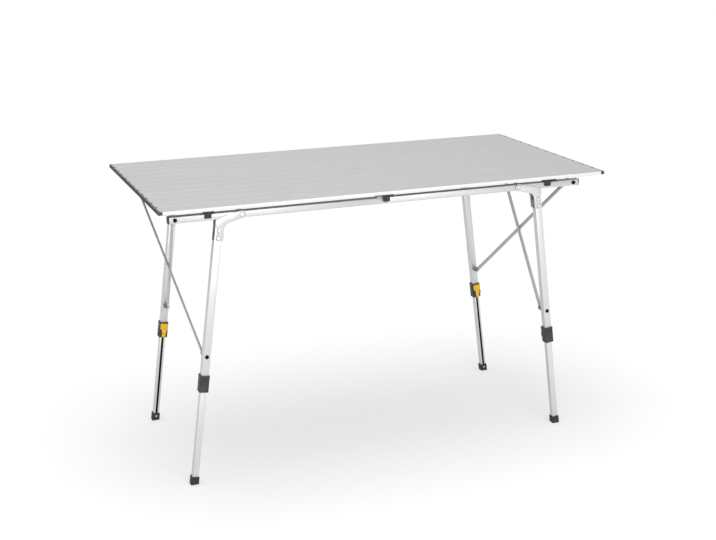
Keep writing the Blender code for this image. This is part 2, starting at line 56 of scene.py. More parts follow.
PAD_SPACING = 0.0150
PAD_HALF = 0.0044
TOP_Z = 0.742
SLAT_LOW = 0.7328
RAIL_Y = 0.2245
RAIL_Z = 0.702
RAIL_TOP = 0.7105
RAIL_END = 0.5645
PLUG_END = 0.567
RAIL_HALF = 0.0095
RAIL_HALF_HEIGHT = 0.0085
RAIL_WALL = 0.0014
RAIL_HOLLOW = 0.09
KNEE_X = 0.383
LEG_TOP_X = 0.43865
SPLAY = math.radians(7.4)
SLEEVE_Z = 0.272
BRACE_X = 0.5505
BRACE_Z = 0.343
GAP = 0.0003
HINGE_Z = 0.7145
HINGE_HALF = 0.0076
CLIP_X = 0.4695
CLIP_HALF = 0.0091
CLIP_NOSE = 0.2755
CLIP_ARM_LOW = 0.7170
CLIP_TONGUE_LOW = 0.6995
PLATE = 0.0018
PLATE_Y = RAIL_HALF + GAP
UPPER = (0.0098, 0.0095)
UPPER_WALL = 0.0013
UPPER_LOW = -0.016
UPPER_HOLLOW = 0.316
HEAD_Z = 0.691
HEAD_PLUG_Z = 0.640
LOWER = (0.00815, 0.00785)
LOWER_TOP = 0.070
STRIP_HALF = 0.0031
STRIP_DEPTH = 0.0013
SLEEVE = (0.0120, 0.0117, 0.022)
LEVER_HALF = 0.0105
FOOT = (0.0102, 0.0100)
FOOT_TOP = 0.0212
COLLAR_LOW = 0.0184
COLLAR_TAPER = 0.93
SCREW_Z = 0.0125

CORNERS = {
    "front_left": (1, 1),
    "front_right": (-1, 1),
    "rear_left": (1, -1),
    "rear_right": (-1, -1),
}


# Hands: small steps that every piece is made with

def let_go():
    """Leaves the open mesh and lets go of every object."""
    if bpy.context.object and bpy.context.object.mode != "OBJECT":
        bpy.ops.object.mode_set(mode="OBJECT")
    bpy.ops.object.select_all(action="DESELECT")


def hold(obj):
    let_go()
    obj.select_set(True)
    bpy.context.view_layer.objects.active = obj
    return obj


def open_mesh(obj, kind="FACE"):
    """Opens a piece for editing with nothing selected."""
    hold(obj)
    bpy.ops.object.mode_set(mode="EDIT")
    bpy.ops.mesh.select_mode(type=kind)
    bpy.ops.mesh.select_all(action="DESELECT")


def close_mesh():
    bpy.ops.object.mode_set(mode="OBJECT")


def pick(obj, kind, test):
    """Selects the faces, edges or corners of the open piece that a test picks."""
    bpy.ops.mesh.select_mode(type=kind)
    bpy.ops.mesh.select_all(action="DESELECT")
    bm = bmesh.from_edit_mesh(obj.data)
    found = {"FACE": bm.faces, "EDGE": bm.edges, "VERT": bm.verts}[kind]
    for item in found:
        if test(item):
            item.select_set(True)
    bmesh.update_edit_mesh(obj.data)


def facing(axis, sign):
    """Picks faces that look along an axis."""
    return lambda face: face.normal[axis] * sign > 0.9


def running(axis, inside=None):
    """Picks edges that run along an axis, where the inside test agrees."""
    def test(edge):
        a, b = (v.co for v in edge.verts)
        run = b - a
        straight = abs(run[axis]) > 0.99 * run.length
        return straight and (inside is None or inside((a + b) / 2))
    return test


def settle(obj):
    """Puts a piece's place, turn and size into its mesh."""
    hold(obj)
    bpy.ops.object.transform_apply(location=True, rotation=True, scale=True)
    return obj


def block(low, high):
    """A box between two corners."""
    low, high = Vector(low), Vector(high)
    let_go()
    bpy.ops.mesh.primitive_cube_add(size=1, location=(low + high) / 2, scale=high - low)
    return settle(bpy.context.object)


def rod(centre, axis, radius, length, sides=32):
    """A round bar through a point, along an axis."""
    turn = {"X": (0, math.pi / 2, 0), "Y": (math.pi / 2, 0, 0), "Z": (0, 0, 0)}[axis]
    let_go()
    bpy.ops.mesh.primitive_cylinder_add(vertices=sides, radius=radius, depth=length,
                                        location=centre, rotation=turn)
    return settle(bpy.context.object)


def bevel(obj, kind_test, width, steps=3):
    """Rounds the edges that a test picks."""
    open_mesh(obj, "EDGE")
    pick(obj, "EDGE", kind_test)
    bpy.ops.mesh.bevel(offset=width, segments=steps, affect="EDGES", clamp_overlap=True)
    close_mesh()
    return obj


def soften(obj, width, steps=2, angle=40):
    """Breaks every sharp edge by a small round."""
    hold(obj)
    mod = obj.modifiers.new("round", "BEVEL")
    mod.width = width
    mod.segments = steps
    mod.limit_method = "ANGLE"
    mod.angle_limit = math.radians(angle)
    mod.use_clamp_overlap = True
    mod.miter_outer = "MITER_ARC"
    bpy.ops.object.modifier_apply(modifier=mod.name)
    return obj


def boolean(obj, others, operation):
    """Joins other solids to a piece, or cuts them from it."""
    for other in others:
        hold(obj)
        mod = obj.modifiers.new(operation.lower(), "BOOLEAN")
        mod.operation = operation
        mod.solver = "EXACT"
        mod.object = other
        bpy.ops.object.modifier_apply(modifier=mod.name)
        bpy.data.objects.remove(other, do_unlink=True)
    return obj


def join(obj, *others):
    return boolean(obj, others, "UNION")


def cut(obj, *others):
    return boolean(obj, others, "DIFFERENCE")


def trace(points, thick):
    """An outline drawn by extruding one corner from point to point, closed,
    filled, and pulled out to a thickness."""
    points = [Vector(p) for p in points]
    let_go()
    bpy.ops.mesh.primitive_plane_add(size=0.001, location=points[0])
    obj = bpy.context.object
    bpy.ops.object.mode_set(mode="EDIT")
    bpy.ops.mesh.select_mode(type="VERT")
    bpy.ops.mesh.select_all(action="SELECT")
    bpy.ops.mesh.merge(type="CENTER")
    for a, b in zip(points, points[1:]):
        bpy.ops.mesh.extrude_region_move(TRANSFORM_OT_translate={"value": b - a})
    ends = (Vector(), points[-1] - points[0])
    pick(obj, "VERT", lambda v: any((v.co - e).length < 1e-6 for e in ends))
    bpy.ops.mesh.edge_face_add()
    bpy.ops.mesh.select_all(action="SELECT")
    bpy.ops.mesh.edge_face_add()
    bpy.ops.mesh.select_mode(type="FACE")
    bpy.ops.mesh.select_all(action="SELECT")
    bpy.ops.mesh.extrude_region_move(TRANSFORM_OT_translate={"value": thick})
    bpy.ops.mesh.select_all(action="SELECT")
    bpy.ops.mesh.normals_make_consistent(inside=False)
    close_mesh()
    return settle(obj)


def arc(cx, cy, radius, start, stop, steps):
    """Points of an arc, from one angle to another in degrees."""
    out = []
    for i in range(steps + 1):
        a = math.radians(start + (stop - start) * i / steps)
        out.append((cx + radius * math.cos(a), cy + radius * math.sin(a)))
    return out


def split(obj, axis, places):
    """Cuts a ring of edges round a piece at each place along an axis."""
    normal = [0, 0, 0]
    normal[axis] = 1
    open_mesh(obj)
    for at in places:
        point = [0, 0, 0]
        point[axis] = at
        bpy.ops.mesh.select_all(action="SELECT")
        bpy.ops.mesh.bisect(plane_co=point, plane_no=normal, use_fill=False)
    close_mesh()
    return obj


def slice_off(obj, point, normal):
    """Cuts away what lies beyond a plane and closes the cut."""
    open_mesh(obj)
    bpy.ops.mesh.select_all(action="SELECT")
    bpy.ops.mesh.bisect(plane_co=point, plane_no=normal, use_fill=True, clear_outer=True)
    close_mesh()
    return obj


def button(centre, axis, side, radius, height, dimple=0.0):
    """A round head: a short bar with a rounded rim, dished if asked."""
    head = rod(centre, axis, radius, height, 28)
    index = "XYZ".index(axis)
    open_mesh(head)
    if dimple:
        pick(head, "FACE", facing(index, side))
        bpy.ops.mesh.inset(thickness=radius * 0.42, depth=0)
        bpy.ops.mesh.inset(thickness=radius * 0.12, depth=-dimple)
    half = height * 0.45
    pick(head, "EDGE", lambda e: all(
        (v.co[index] - centre[index]) * side > half
        and (v.co - Vector(centre)).length > radius * 0.98 for v in e.verts))
    bpy.ops.mesh.bevel(offset=min(radius, height) * 0.34, segments=3, affect="EDGES")
    close_mesh()
    return head


def copy_piece(obj, name, mirror=(1, 1, 1), move=(0, 0, 0)):
    """A copy with its own mesh, mirrored or moved, its faces outwards."""
    hold(obj)
    bpy.ops.object.duplicate(linked=False)
    twin = bpy.context.object
    twin.location = move
    twin.scale = mirror
    bpy.ops.object.transform_apply(location=True, rotation=False, scale=True)
    if mirror[0] * mirror[1] * mirror[2] < 0:
        open_mesh(twin)
        bpy.ops.mesh.select_all(action="SELECT")
        bpy.ops.mesh.normals_make_consistent(inside=False)
        close_mesh()
    twin.name = name
    twin.data.name = name
    return twin


def dress(obj, name, material, angle=35):
    """Names a finished piece and gives it its finish and smooth rounds."""
    obj.name = name
    obj.data.name = name
    obj.data.materials.clear()
    obj.data.materials.append(material)
    hold(obj)
    bpy.ops.object.shade_smooth_by_angle(angle=math.radians(angle))
    return obj


def mount(obj, body, slot, *nodes):
    """Fixes a piece to a body of the frame, in the place of CAD nodes."""
    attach(obj, body)
    if nodes:
        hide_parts(*nodes)
    return obj


def at_corners(obj, name, body, slot, node=None):
    """Sets a front left piece on its body there and at the other corners."""
    for corner, (sx, sy) in CORNERS.items():
        piece = obj
        if corner != "front_left":
            piece = copy_piece(obj, f"{name}_{corner}", (sx, sy, 1))
        mount(piece, f"{body}_{corner}", slot, *([f"{node}_{corner}"] if node else []))
    obj.name = f"{name}_front_left"
    obj.data.name = obj.name


# Finishes

class Finish:
    """A node material on the piece's own coordinates."""

    def __init__(self, name, metallic, rough, ior=1.5):
        self.mat = bpy.data.materials.new(name)
        self.mat.use_nodes = True
        self.nodes = self.mat.node_tree.nodes
        self.links = self.mat.node_tree.links
        self.shader = self.nodes["Principled BSDF"]
        self.shader.inputs["Metallic"].default_value = metallic
        self.shader.inputs["Roughness"].default_value = rough
        self.shader.inputs["IOR"].default_value = ior
        place = self.nodes.new("ShaderNodeTexCoord")
        self.where = place.outputs["Object"]
        self.facing = place.outputs["Normal"]
        self.bumped = None

    def noise(self, scale, stretch=(1, 1, 1), detail=3.0, rough=0.5):
        """Noise over the piece, stretched along its axes."""
        mapping = self.nodes.new("ShaderNodeMapping")
        mapping.inputs["Scale"].default_value = stretch
        self.links.new(self.where, mapping.inputs["Vector"])
        noise = self.nodes.new("ShaderNodeTexNoise")
        noise.inputs["Scale"].default_value = scale
        noise.inputs["Detail"].default_value = detail
        noise.inputs["Roughness"].default_value = rough
        self.links.new(mapping.outputs["Vector"], noise.inputs["Vector"])
        return noise.outputs["Fac"]

    def spread(self, value, low, high, start=0.3, stop=0.7):
        """Maps a pattern to a range of values."""
        node = self.nodes.new("ShaderNodeMapRange")
        node.inputs["From Min"].default_value = start
        node.inputs["From Max"].default_value = stop
        node.inputs["To Min"].default_value = low
        node.inputs["To Max"].default_value = high
        self.links.new(value, node.inputs["Value"])
        return node.outputs["Result"]

    def blend(self, share, first, second):
        """Mixes two colours, or a pattern and a colour, by a share."""
        node = self.nodes.new("ShaderNodeMix")
        node.data_type = "RGBA"
        for socket, value in ((6, first), (7, second)):
            if isinstance(value, bpy.types.NodeSocket):
                self.links.new(value, node.inputs[socket])
            else:
                node.inputs[socket].default_value = (*value, 1)
        if isinstance(share, bpy.types.NodeSocket):
            self.links.new(share, node.inputs[0])
        else:
            node.inputs[0].default_value = share
        return node.outputs[2]

    def colour(self, value):
        self.links.new(value, self.shader.inputs["Base Color"])

    def roughness(self, value):
        self.links.new(value, self.shader.inputs["Roughness"])

    def bump(self, height, distance, strength=1.0):
        node = self.nodes.new("ShaderNodeBump")
        node.inputs["Strength"].default_value = strength
        node.inputs["Distance"].default_value = distance
        self.links.new(height, node.inputs["Height"])
        if self.bumped:
            self.links.new(self.bumped, node.inputs["Normal"])
        self.bumped = node.outputs["Normal"]
        self.links.new(self.bumped, self.shader.inputs["Normal"])


def grey(level):
    return (level, level, level * 1.01)


def drawn_aluminium(name, level, rough, along):
    """Anodised tube: die lines along it, a cloudy bloom and rubbed spots."""
    made = Finish(name, 0.45, rough)
    lines = made.noise(900, tuple(0.012 if i == along else 1 for i in range(3)), 4)
    cloud = made.noise(14, detail=2)
    rubbed = made.noise(55, detail=6, rough=0.65)
    base = made.blend(made.spread(lines, 0, 1), grey(level * 0.93), grey(level * 1.04))
    base = made.blend(made.spread(cloud, 0, 0.35), base, grey(level * 0.88))
    made.colour(made.blend(made.spread(rubbed, 0, 0.5, 0.6, 0.75), base,
                           grey(min(level * 1.12, 0.95))))
    made.roughness(made.spread(cloud, rough - 0.05, rough + 0.08))
    made.bump(lines, 0.00004, 0.35)
    return made.mat


def moulded_plastic(name, colour, rough, gloss=0.5):
    """Moulded plastic with a spark-eroded grain and paler scuffs."""
    made = Finish(name, 0.0, rough)
    made.shader.inputs["Specular IOR Level"].default_value = gloss
    fine = made.noise(2600, detail=2)
    cloud = made.noise(40, detail=3)
    scuff = made.noise(170, (1, 1, 0.4), 6, 0.7)
    light = tuple(min(1, c * 1.25 + 0.01) for c in colour)
    base = made.blend(made.spread(cloud, 0, 1), colour, tuple(c * 0.86 for c in colour))
    made.colour(made.blend(made.spread(scuff, 0, 0.6, 0.62, 0.78), base, light))
    made.roughness(made.spread(cloud, rough - 0.07, rough + 0.07))
    made.bump(fine, 0.00006, 0.5)
    return made.mat


def top_aluminium():
    """Satin slats: long faint stripes along the table over a matt bloom, a painted highlight
    on the faces that look along Y, and painted shade on the faces that look down."""
    made = Finish("slat_satin_aluminium", 0.40, 0.50)
    axes = made.nodes.new("ShaderNodeSeparateXYZ")
    made.links.new(made.facing, axes.inputs["Vector"])
    upright = made.nodes.new("ShaderNodeMath")
    upright.operation = "ABSOLUTE"
    made.links.new(axes.outputs["Y"], upright.inputs[0])
    # Faces that look along Y, the slats' fronts and backs, take a paler colour below: a
    # painted highlight.
    edge = made.spread(upright.outputs[0], 0, 1, 0.85, 0.97)
    # Faces that look down take a dark grey below: painted shade under the slats.
    below = made.spread(axes.outputs["Z"], 1, 0, -0.8, -0.4)
    fine = made.noise(700, (0.010, 1, 1), 3)
    stripes = made.noise(48, (0.02, 1, 1), 3, 0.6)
    cloud = made.noise(5, detail=3)
    base = made.blend(made.spread(fine, 0, 1), grey(0.475), grey(0.505))
    base = made.blend(made.spread(stripes, 0, 0.5, 0.35, 0.65), base, grey(0.465))
    base = made.blend(made.spread(cloud, 0, 0.25), base, grey(0.44))
    painted_highlight = made.blend(made.spread(fine, 0, 1), grey(0.77), grey(0.82))
    painted_shade_under = made.blend(made.spread(fine, 0, 1), grey(0.22), grey(0.28))
    made.colour(made.blend(below, made.blend(edge, base, painted_highlight), painted_shade_under))
    made.roughness(made.spread(stripes, 0.50, 0.53))
    made.bump(fine, 0.00004, 0.15)
    return made.mat


def steel(name, level, rough):
    """Plated steel of rivets, pins and hinges, with fine turning marks."""
    made = Finish(name, 0.9, rough)
    turned = made.noise(1500, detail=4)
    spots = made.noise(220, detail=5, rough=0.7)
    base = made.blend(made.spread(turned, 0, 1), grey(level * 0.9), grey(level * 1.05))
    made.colour(made.blend(made.spread(spots, 0, 0.4, 0.6, 0.75), base, grey(level * 0.6)))
    made.roughness(made.spread(spots, rough - 0.05, rough + 0.12))
    made.bump(turned, 0.00003, 0.4)
    return made.mat


def foot_rubber():
    """Matt black rubber, a little dusty towards the floor."""
    made = Finish("foot_rubber", 0.0, 0.8)
    fine = made.noise(1400, detail=3)
    dust = made.noise(300, detail=6, rough=0.7)
    axes = made.nodes.new("ShaderNodeSeparateXYZ")
    made.links.new(made.where, axes.inputs["Vector"])
    low = made.spread(axes.outputs["Z"], 0.5, 0.0, 0.0, 0.012)
    base = made.blend(made.spread(fine, 0, 1), (0.022, 0.022, 0.023), (0.034, 0.034, 0.035))
    dusty = made.blend(made.spread(dust, 0, 1, 0.4, 0.75), base, (0.10, 0.098, 0.092))
    made.colour(made.blend(low, base, dusty))
    made.roughness(made.spread(fine, 0.72, 0.9))
    made.bump(fine, 0.00008, 0.5)
    return made.mat


TOP_METAL = top_aluminium()
RAIL_METAL = drawn_aluminium("rail_aluminium", 0.68, 0.34, 0)
LEG_METAL = drawn_aluminium("leg_aluminium", 0.73, 0.34, 2)
BRACKET_METAL = drawn_aluminium("bracket_metal", 0.69, 0.36, 0)
# Dark grey for the bracket's plate rims and web: painted shade.
BRACKET_PAINTED_SHADE = drawn_aluminium("bracket_painted_shade", 0.27, 0.5, 1)
BRACE_METAL = drawn_aluminium("brace_grey_metal", 0.58, 0.42, 2)
STEEL = steel("plated_steel", 0.52, 0.32)
FORK_GREY = moulded_plastic("fork_grey_plastic", (0.33, 0.33, 0.335), 0.5)
RIVET = steel("rivet_bright_metal", 0.70, 0.34)
# Dark discs under the rivet heads: a painted contact shadow.
RIVET_SHADE_RING = steel("washer_dark_steel", 0.24, 0.40)
PIN_BLACK = moulded_plastic("pin_cap_black", (0.004, 0.004, 0.005), 0.6, gloss=0.12)
BLACK = moulded_plastic("black_plastic", (0.030, 0.030, 0.032), 0.5)
SLEEVE_BLACK = moulded_plastic("sleeve_black_plastic", (0.031, 0.031, 0.033), 0.55)
CAP_GREY = moulded_plastic("slat_cap_plastic", (0.042, 0.042, 0.044), 0.48)
YELLOW = moulded_plastic("lever_yellow_plastic", (1.0, 0.61, 0.012), 0.40)
RUBBER = foot_rubber()


# Top: slats and their end caps

def make_slats():
    """An open aluminium channel with a rounded, finely grooved face. Its ends
    are cut back at the corners, where the end caps show."""
    half, low = SLAT_HALF, SLAT_LOW
    side = []
    for at in SLAT_GROOVES:
        side += [(at, TOP_Z), (at + 0.0003, TOP_Z - 0.0003), (at + 0.0006, TOP_Z)]
    side += arc(half - SLAT_ROUND, TOP_Z - SLAT_ROUND, SLAT_ROUND, 90, 0, 5)
    side += arc(half - 0.0008, low + 0.0008, 0.0008, 0, -90, 2)
    side += [(half - SLAT_LIP, low), (half - SLAT_LIP, low + SLAT_WALL),
             (half - SLAT_WALL, low + SLAT_WALL), (half - SLAT_WALL, TOP_Z - 0.0022),
             (half - 0.0022, TOP_Z - SLAT_WALL), (0.0016, TOP_Z - SLAT_WALL),
             (0.0016, low + 0.0026), (0.0027, low + 0.0012), (0.0027, low)]
    section = side + [(-a, b) for a, b in reversed(side)]
    y = -(SLAT_COUNT - 1) / 2 * SLAT_PITCH
    slat = trace([(-METAL_END, y + a, b) for a, b in section], (2 * METAL_END, 0, 0))
    for sx in (-1, 1):
        for sy in (-1, 1):
            slice_off(slat, (sx * (METAL_END - NICK), y + sy * half, 0),
                      Vector((sx, sy, 0)).normalized())
    dress(slat, "top_slat_01", TOP_METAL, 30)
    cap = make_slat_cap(y)
    for index in range(SLAT_COUNT):
        number = f"{index + 1:02d}"
        move = (0, index * SLAT_PITCH, 0)
        piece = slat if index == 0 else copy_piece(slat, f"top_slat_{number}", move=move)
        mount(piece, f"slat_{number}", "top", f"slat_{number}")
        for side_name, sx in (("left", 1), ("right", -1)):
            twin = copy_piece(cap, f"slat_cap_{side_name}_{number}", (sx, 1, 1), move)
            mount(twin, f"slat_{number}", "black_plastic")
    bpy.data.objects.remove(cap, do_unlink=True)


def make_slat_cap(y):
    """Moulded end cap: a flange with a sunk panel and three raised pads, a
    plug and a shoulder in the end of the channel, and a lug in each of the
    slat's cut corners."""
    half, low, high = SLAT_HALF - 0.0003, SLAT_LOW + 0.0002, TOP_Z - 0.0003
    out, inner = -HALF_LENGTH, -METAL_END + 0.0001
    cap = block((out, y - half, low), (inner, y + half, high))
    bevel(cap, running(0), 0.0014, 3)
    open_mesh(cap)
    pick(cap, "FACE", facing(0, -1))
    bpy.ops.mesh.inset(thickness=0.0015, depth=0)
    bpy.ops.mesh.inset(thickness=0.0004, depth=-0.0019)
    close_mesh()
    pads = (y - PAD_SPACING, y, y + PAD_SPACING)
    split(cap, 1, [pad + side * PAD_HALF for pad in pads for side in (-1, 1)])
    open_mesh(cap)
    pick(cap, "FACE", lambda f: f.normal.x < -0.9
         and f.calc_center_median().x > out + 0.0008
         and any(abs(f.calc_center_median().y - pad) < 0.004 for pad in pads))
    bpy.ops.mesh.inset(thickness=0.0009, depth=0)
    bpy.ops.mesh.extrude_region_move(TRANSFORM_OT_translate={"value": (-0.0016, 0, 0)})
    close_mesh()
    plug = block((inner - 0.0009, y - half + 0.0012, low + 0.0016),
                 (inner + 0.0125, y + half - 0.0012, TOP_Z - SLAT_WALL - 0.0002))
    bevel(plug, running(0), 0.0010, 2)
    shoulder = block((inner - 0.0006, y - half + 0.0003, low + 0.0008),
                     (inner + 0.0046, y + half - 0.0003, TOP_Z - 0.0030))
    bevel(shoulder, running(0), 0.0012, 2)
    lugs = []
    for sy in (-1, 1):
        y0, y1 = sorted((y + sy * half, y + sy * (half - NICK)))
        lug = block((inner - 0.0008, y0, TOP_Z - 0.0042), (inner + NICK, y1, high))
        corner = (inner + NICK, y + sy * (SLAT_HALF + 0.0003), 0)
        lugs.append(slice_off(lug, corner, Vector((1, -sy, 0)).normalized()))
    join(cap, plug, shoulder, *lugs)
    soften(cap, 0.0003, 2, 50)
    return dress(cap, "slat_cap", CAP_GREY)


# Rails and their middle hinges

def make_rails():
    """Square tube, hollow at the middle, with an end plug and a pin cap."""
    h, d = RAIL_HALF_HEIGHT, RAIL_HALF
    tube = block((-RAIL_END, -RAIL_Y - d, RAIL_Z - h), (-0.0012, -RAIL_Y + d, RAIL_TOP))
    open_mesh(tube)
    pick(tube, "FACE", facing(0, 1))
    bpy.ops.mesh.inset(thickness=RAIL_WALL, depth=0)
    bpy.ops.mesh.extrude_region_move(
        TRANSFORM_OT_translate={"value": (-RAIL_HOLLOW, 0, 0)})
    close_mesh()
    outside = d - 0.0001
    bevel(tube, running(0, lambda p: abs(p.y + RAIL_Y) > outside), 0.0021, 4)
    soften(tube, 0.00025, 2)
    dress(tube, "rail_tube", RAIL_METAL)
    at_corners(tube, "rail_tube", "rail", "rail", "rail")
    plug = block((-PLUG_END, -RAIL_Y - d + 0.0002, RAIL_Z - h + 0.0002),
                 (-RAIL_END - 0.0001, -RAIL_Y + d - 0.0002, RAIL_TOP - 0.0002))
    bevel(plug, running(0), 0.0019, 3)
    open_mesh(plug)
    pick(plug, "FACE", facing(0, -1))
    bpy.ops.mesh.inset(thickness=0.0030, depth=0)
    bpy.ops.mesh.inset(thickness=0.0006, depth=-0.0007)
    close_mesh()
    soften(plug, 0.0003, 2, 60)
    dress(plug, "rail_end_plug", BLACK)
    at_corners(plug, "rail_end_plug", "rail", "black_plastic")
    cap = button((-BRACE_X, -RAIL_Y - d - 0.0011, RAIL_Z), "Y", -1,
                 0.0052, 0.0024, 0.0003)
    dress(cap, "rail_pin_cap", PIN_BLACK)
    at_corners(cap, "rail_pin_cap", "rail", "black_plastic")


def make_leaf(side, bands):
    """Hinge leaf with rolled knuckles and two rivets. Side -1 is the left."""
    z0, z1 = RAIL_TOP + 0.00005, RAIL_TOP + 0.0018
    x0, x1 = sorted((side * 0.0260, side * 0.0066))
    leaf = block((x0, -RAIL_Y - HINGE_HALF, z0), (x1, -RAIL_Y + HINGE_HALF, z1))
    bevel(leaf, running(2, lambda p: abs(p.x) > 0.02), 0.0022, 4)
    for a, b in bands:
        mid = -RAIL_Y + (a + b) / 2
        curl = rod((0, mid, HINGE_Z), "Y", 0.0032, b - a, 24)
        neck = block((min(side * 0.0072, side * 0.0022), -RAIL_Y + a, z0 + 0.0005),
                     (max(side * 0.0072, side * 0.0022), -RAIL_Y + b, z1 + 0.0006))
        join(leaf, curl, neck)
    soften(leaf, 0.0003, 2, 50)
    return leaf


def make_hinges():
    """Left leaf with two knuckles and the pin, right leaf with one knuckle."""
    edge, mid = HINGE_HALF, 0.0030
    left = make_leaf(-1, ((-edge, -mid), (mid, edge)))
    dress(left, "hinge_left_leaf_front", BRACKET_METAL)
    right = make_leaf(1, ((-mid + GAP, mid - GAP),))
    dress(right, "hinge_right_leaf_front", BRACKET_METAL)
    pin = rod((0, -RAIL_Y, HINGE_Z), "Y", 0.0015, 0.0166, 16)
    soften(pin, 0.0004, 2)
    dress(pin, "hinge_pin_front", STEEL)
    rivets = []
    for x in (-0.019, 0.019):
        for y in (-0.0038, 0.0038):
            head = button((x, -RAIL_Y + y, RAIL_TOP + 0.0021), "Z", 1, 0.0021, 0.0012)
            rivets.append(dress(head, f"hinge_rivet_{len(rivets) + 1}_front", STEEL))
    for row, sy in (("front", 1), ("rear", -1)):
        for piece, body, nodes, slot in (
                [(left, f"rail_{row}_left", (f"middle_hinge_{row}",), "bracket"),
                 (right, f"rail_{row}_right", (), "bracket"),
                 (pin, f"rail_{row}_left", (), "bracket")]
                + [(r, f"rail_{row}_{'left' if i < 2 else 'right'}", (), "bracket")
                   for i, r in enumerate(rivets)]):
            if sy < 0:
                piece = copy_piece(piece, piece.name.replace("front", "rear"), (1, -1, 1))
            mount(piece, body, slot, *nodes)


# Clips that hold the top on the rails

def make_clip(x, middle):
    """Moulded clip: a block on the rail, an arm forward under the slats with
    a ribbed pocket, and a tongue that hangs down the front of the rail."""
    low, high = RAIL_TOP + GAP, SLAT_LOW - GAP
    outer = -(RAIL_Y + RAIL_HALF)
    inner = -(RAIL_Y - RAIL_HALF)
    y0 = outer - GAP - 0.0030
    half = CLIP_HALF
    clip = block((x - half, y0, low), (x + half, inner - 0.0010, high))
    bevel(clip, running(2, lambda p: p.y > inner - 0.002), 0.0020, 3)
    arm = block((x - half, -CLIP_NOSE, CLIP_ARM_LOW), (x + half, -0.2280, high))
    bevel(arm, running(2, lambda p: p.y < -0.25), 0.0024, 4)
    bevel(arm, lambda e: all(v.co.y < -CLIP_NOSE + 0.003
                             and v.co.z < CLIP_ARM_LOW + 0.0001 for v in e.verts), 0.0022, 3)
    open_mesh(arm)
    pick(arm, "FACE", facing(2, -1))
    bpy.ops.mesh.inset(thickness=0.0020, depth=0)
    bpy.ops.mesh.inset(thickness=0.0004, depth=-0.0052)
    close_mesh()
    ribs = []
    for y in (-0.2665, -0.2590, -0.2515):
        ribs.append(block((x - half + 0.0015, y - 0.0006, CLIP_ARM_LOW + 0.0006),
                          (x + half - 0.0015, y + 0.0006, high - 0.004)))
    tongue = block((x - half, y0, CLIP_TONGUE_LOW), (x + half, outer - GAP, low + 0.0040))
    bevel(tongue, running(1, lambda p: p.z < RAIL_Z), 0.0024, 4)
    split(tongue, 2, (RAIL_Z + 0.0004, CLIP_ARM_LOW - 0.0036))
    open_mesh(tongue)
    pick(tongue, "FACE", lambda f: f.normal.y < -0.9
         and RAIL_Z + 0.0004 < f.calc_center_median().z < CLIP_ARM_LOW - 0.0036)
    bpy.ops.mesh.inset(thickness=0.0018, depth=0)
    bpy.ops.mesh.inset(thickness=0.0004, depth=-0.0009)
    close_mesh()
    join(clip, arm, tongue, *ribs)
    past = 0.01
    if middle:
        hollow = block((x - half - past, outer + 0.0015, low - past),
                       (x + half + past, inner + past, HINGE_Z + 0.0053))
    else:
        hollow = block((x - half + 0.0033, outer + 0.0030, low + 0.0030),
                       (x + half - 0.0033, inner + past, high - 0.0025))
    cut(clip, hollow)
    return soften(clip, 0.00035, 2, 50)


def make_clips():
    """Three clips on each rail, fixed to the second slat from the edge."""
    for x, where in ((-CLIP_X, "left"), (0.0, "middle"), (CLIP_X, "right")):
        clip = make_clip(x, where == "middle")
        dress(clip, f"top_clip_front_{where}", BLACK)
        rear = copy_piece(clip, f"top_clip_rear_{where}", (1, -1, 1))
        mount(clip, "slat_02", "black_plastic", f"clip_front_{where}")
        mount(rear, "slat_11", "black_plastic", f"clip_rear_{where}")


# Legs

def leg_x(z):
    """Distance of the leg's axis from the table's middle at a height."""
    return LEG_TOP_X + (RAIL_Z - z) * math.tan(SPLAY)


LEG_START = Vector((-leg_x(SLEEVE_Z), -RAIL_Y, SLEEVE_Z))
LEG_FRAME = Matrix.Translation(LEG_START) @ Matrix.Rotation(SPLAY, 4, "Y")


def lean(obj):
    """Turns a piece made upright into the leg's lean at the front left."""
    obj.matrix_world = LEG_FRAME
    return settle(obj)


def up_leg(z):
    """Distance up the leg from the sleeve of its axis point at a height."""
    return (LEG_FRAME.inverted() @ Vector((-leg_x(z), -RAIL_Y, z))).z


LEG_END = up_leg(0.0)


def off_leg(drop, across):
    """Place in the leg's plane, below the rail's axis and across the leg's."""
    z = RAIL_Z - drop
    return -leg_x(z) + across, z


def make_upper_legs():
    """Upper leg tube, open at the sleeve, with the black plug at its head."""
    u, v = UPPER
    high = up_leg(HEAD_Z)
    tube = block((-u, -v, UPPER_LOW), (u, v, high))
    open_mesh(tube)
    pick(tube, "FACE", facing(2, -1))
    bpy.ops.mesh.inset(thickness=UPPER_WALL, depth=0)
    bpy.ops.mesh.extrude_region_move(
        TRANSFORM_OT_translate={"value": (0, 0, UPPER_HOLLOW)})
    close_mesh()
    bevel(tube, running(2, lambda p: abs(p.x) > u - 0.0001), 0.0022, 4)
    soften(tube, 0.00025, 2)
    lean(tube)
    dress(tube, "upper_leg_tube", LEG_METAL)
    at_corners(tube, "upper_leg_tube", "leg", "leg", "upper_leg")
    cap = button((-leg_x(BRACE_Z), -RAIL_Y - v - 0.0008, BRACE_Z), "Y", -1,
                 0.0050, 0.0022, 0.0003)
    dress(cap, "leg_pin_cap", PIN_BLACK)
    at_corners(cap, "leg_pin_cap", "leg", "black_plastic")
    skin = 0.0006
    plug = block((-u - skin, -v + 0.0023, up_leg(HEAD_PLUG_Z)),
                 (u + skin, v - 0.0023, high + 0.0016))
    split(plug, 2, (high + 0.0002,))
    bevel(plug, running(1, lambda p: p.z > high), 0.0014, 3)
    soften(plug, 0.0003, 2)
    lean(plug)
    dress(plug, "leg_head_plug", BLACK)
    at_corners(plug, "leg_head_plug", "leg", "black_plastic")


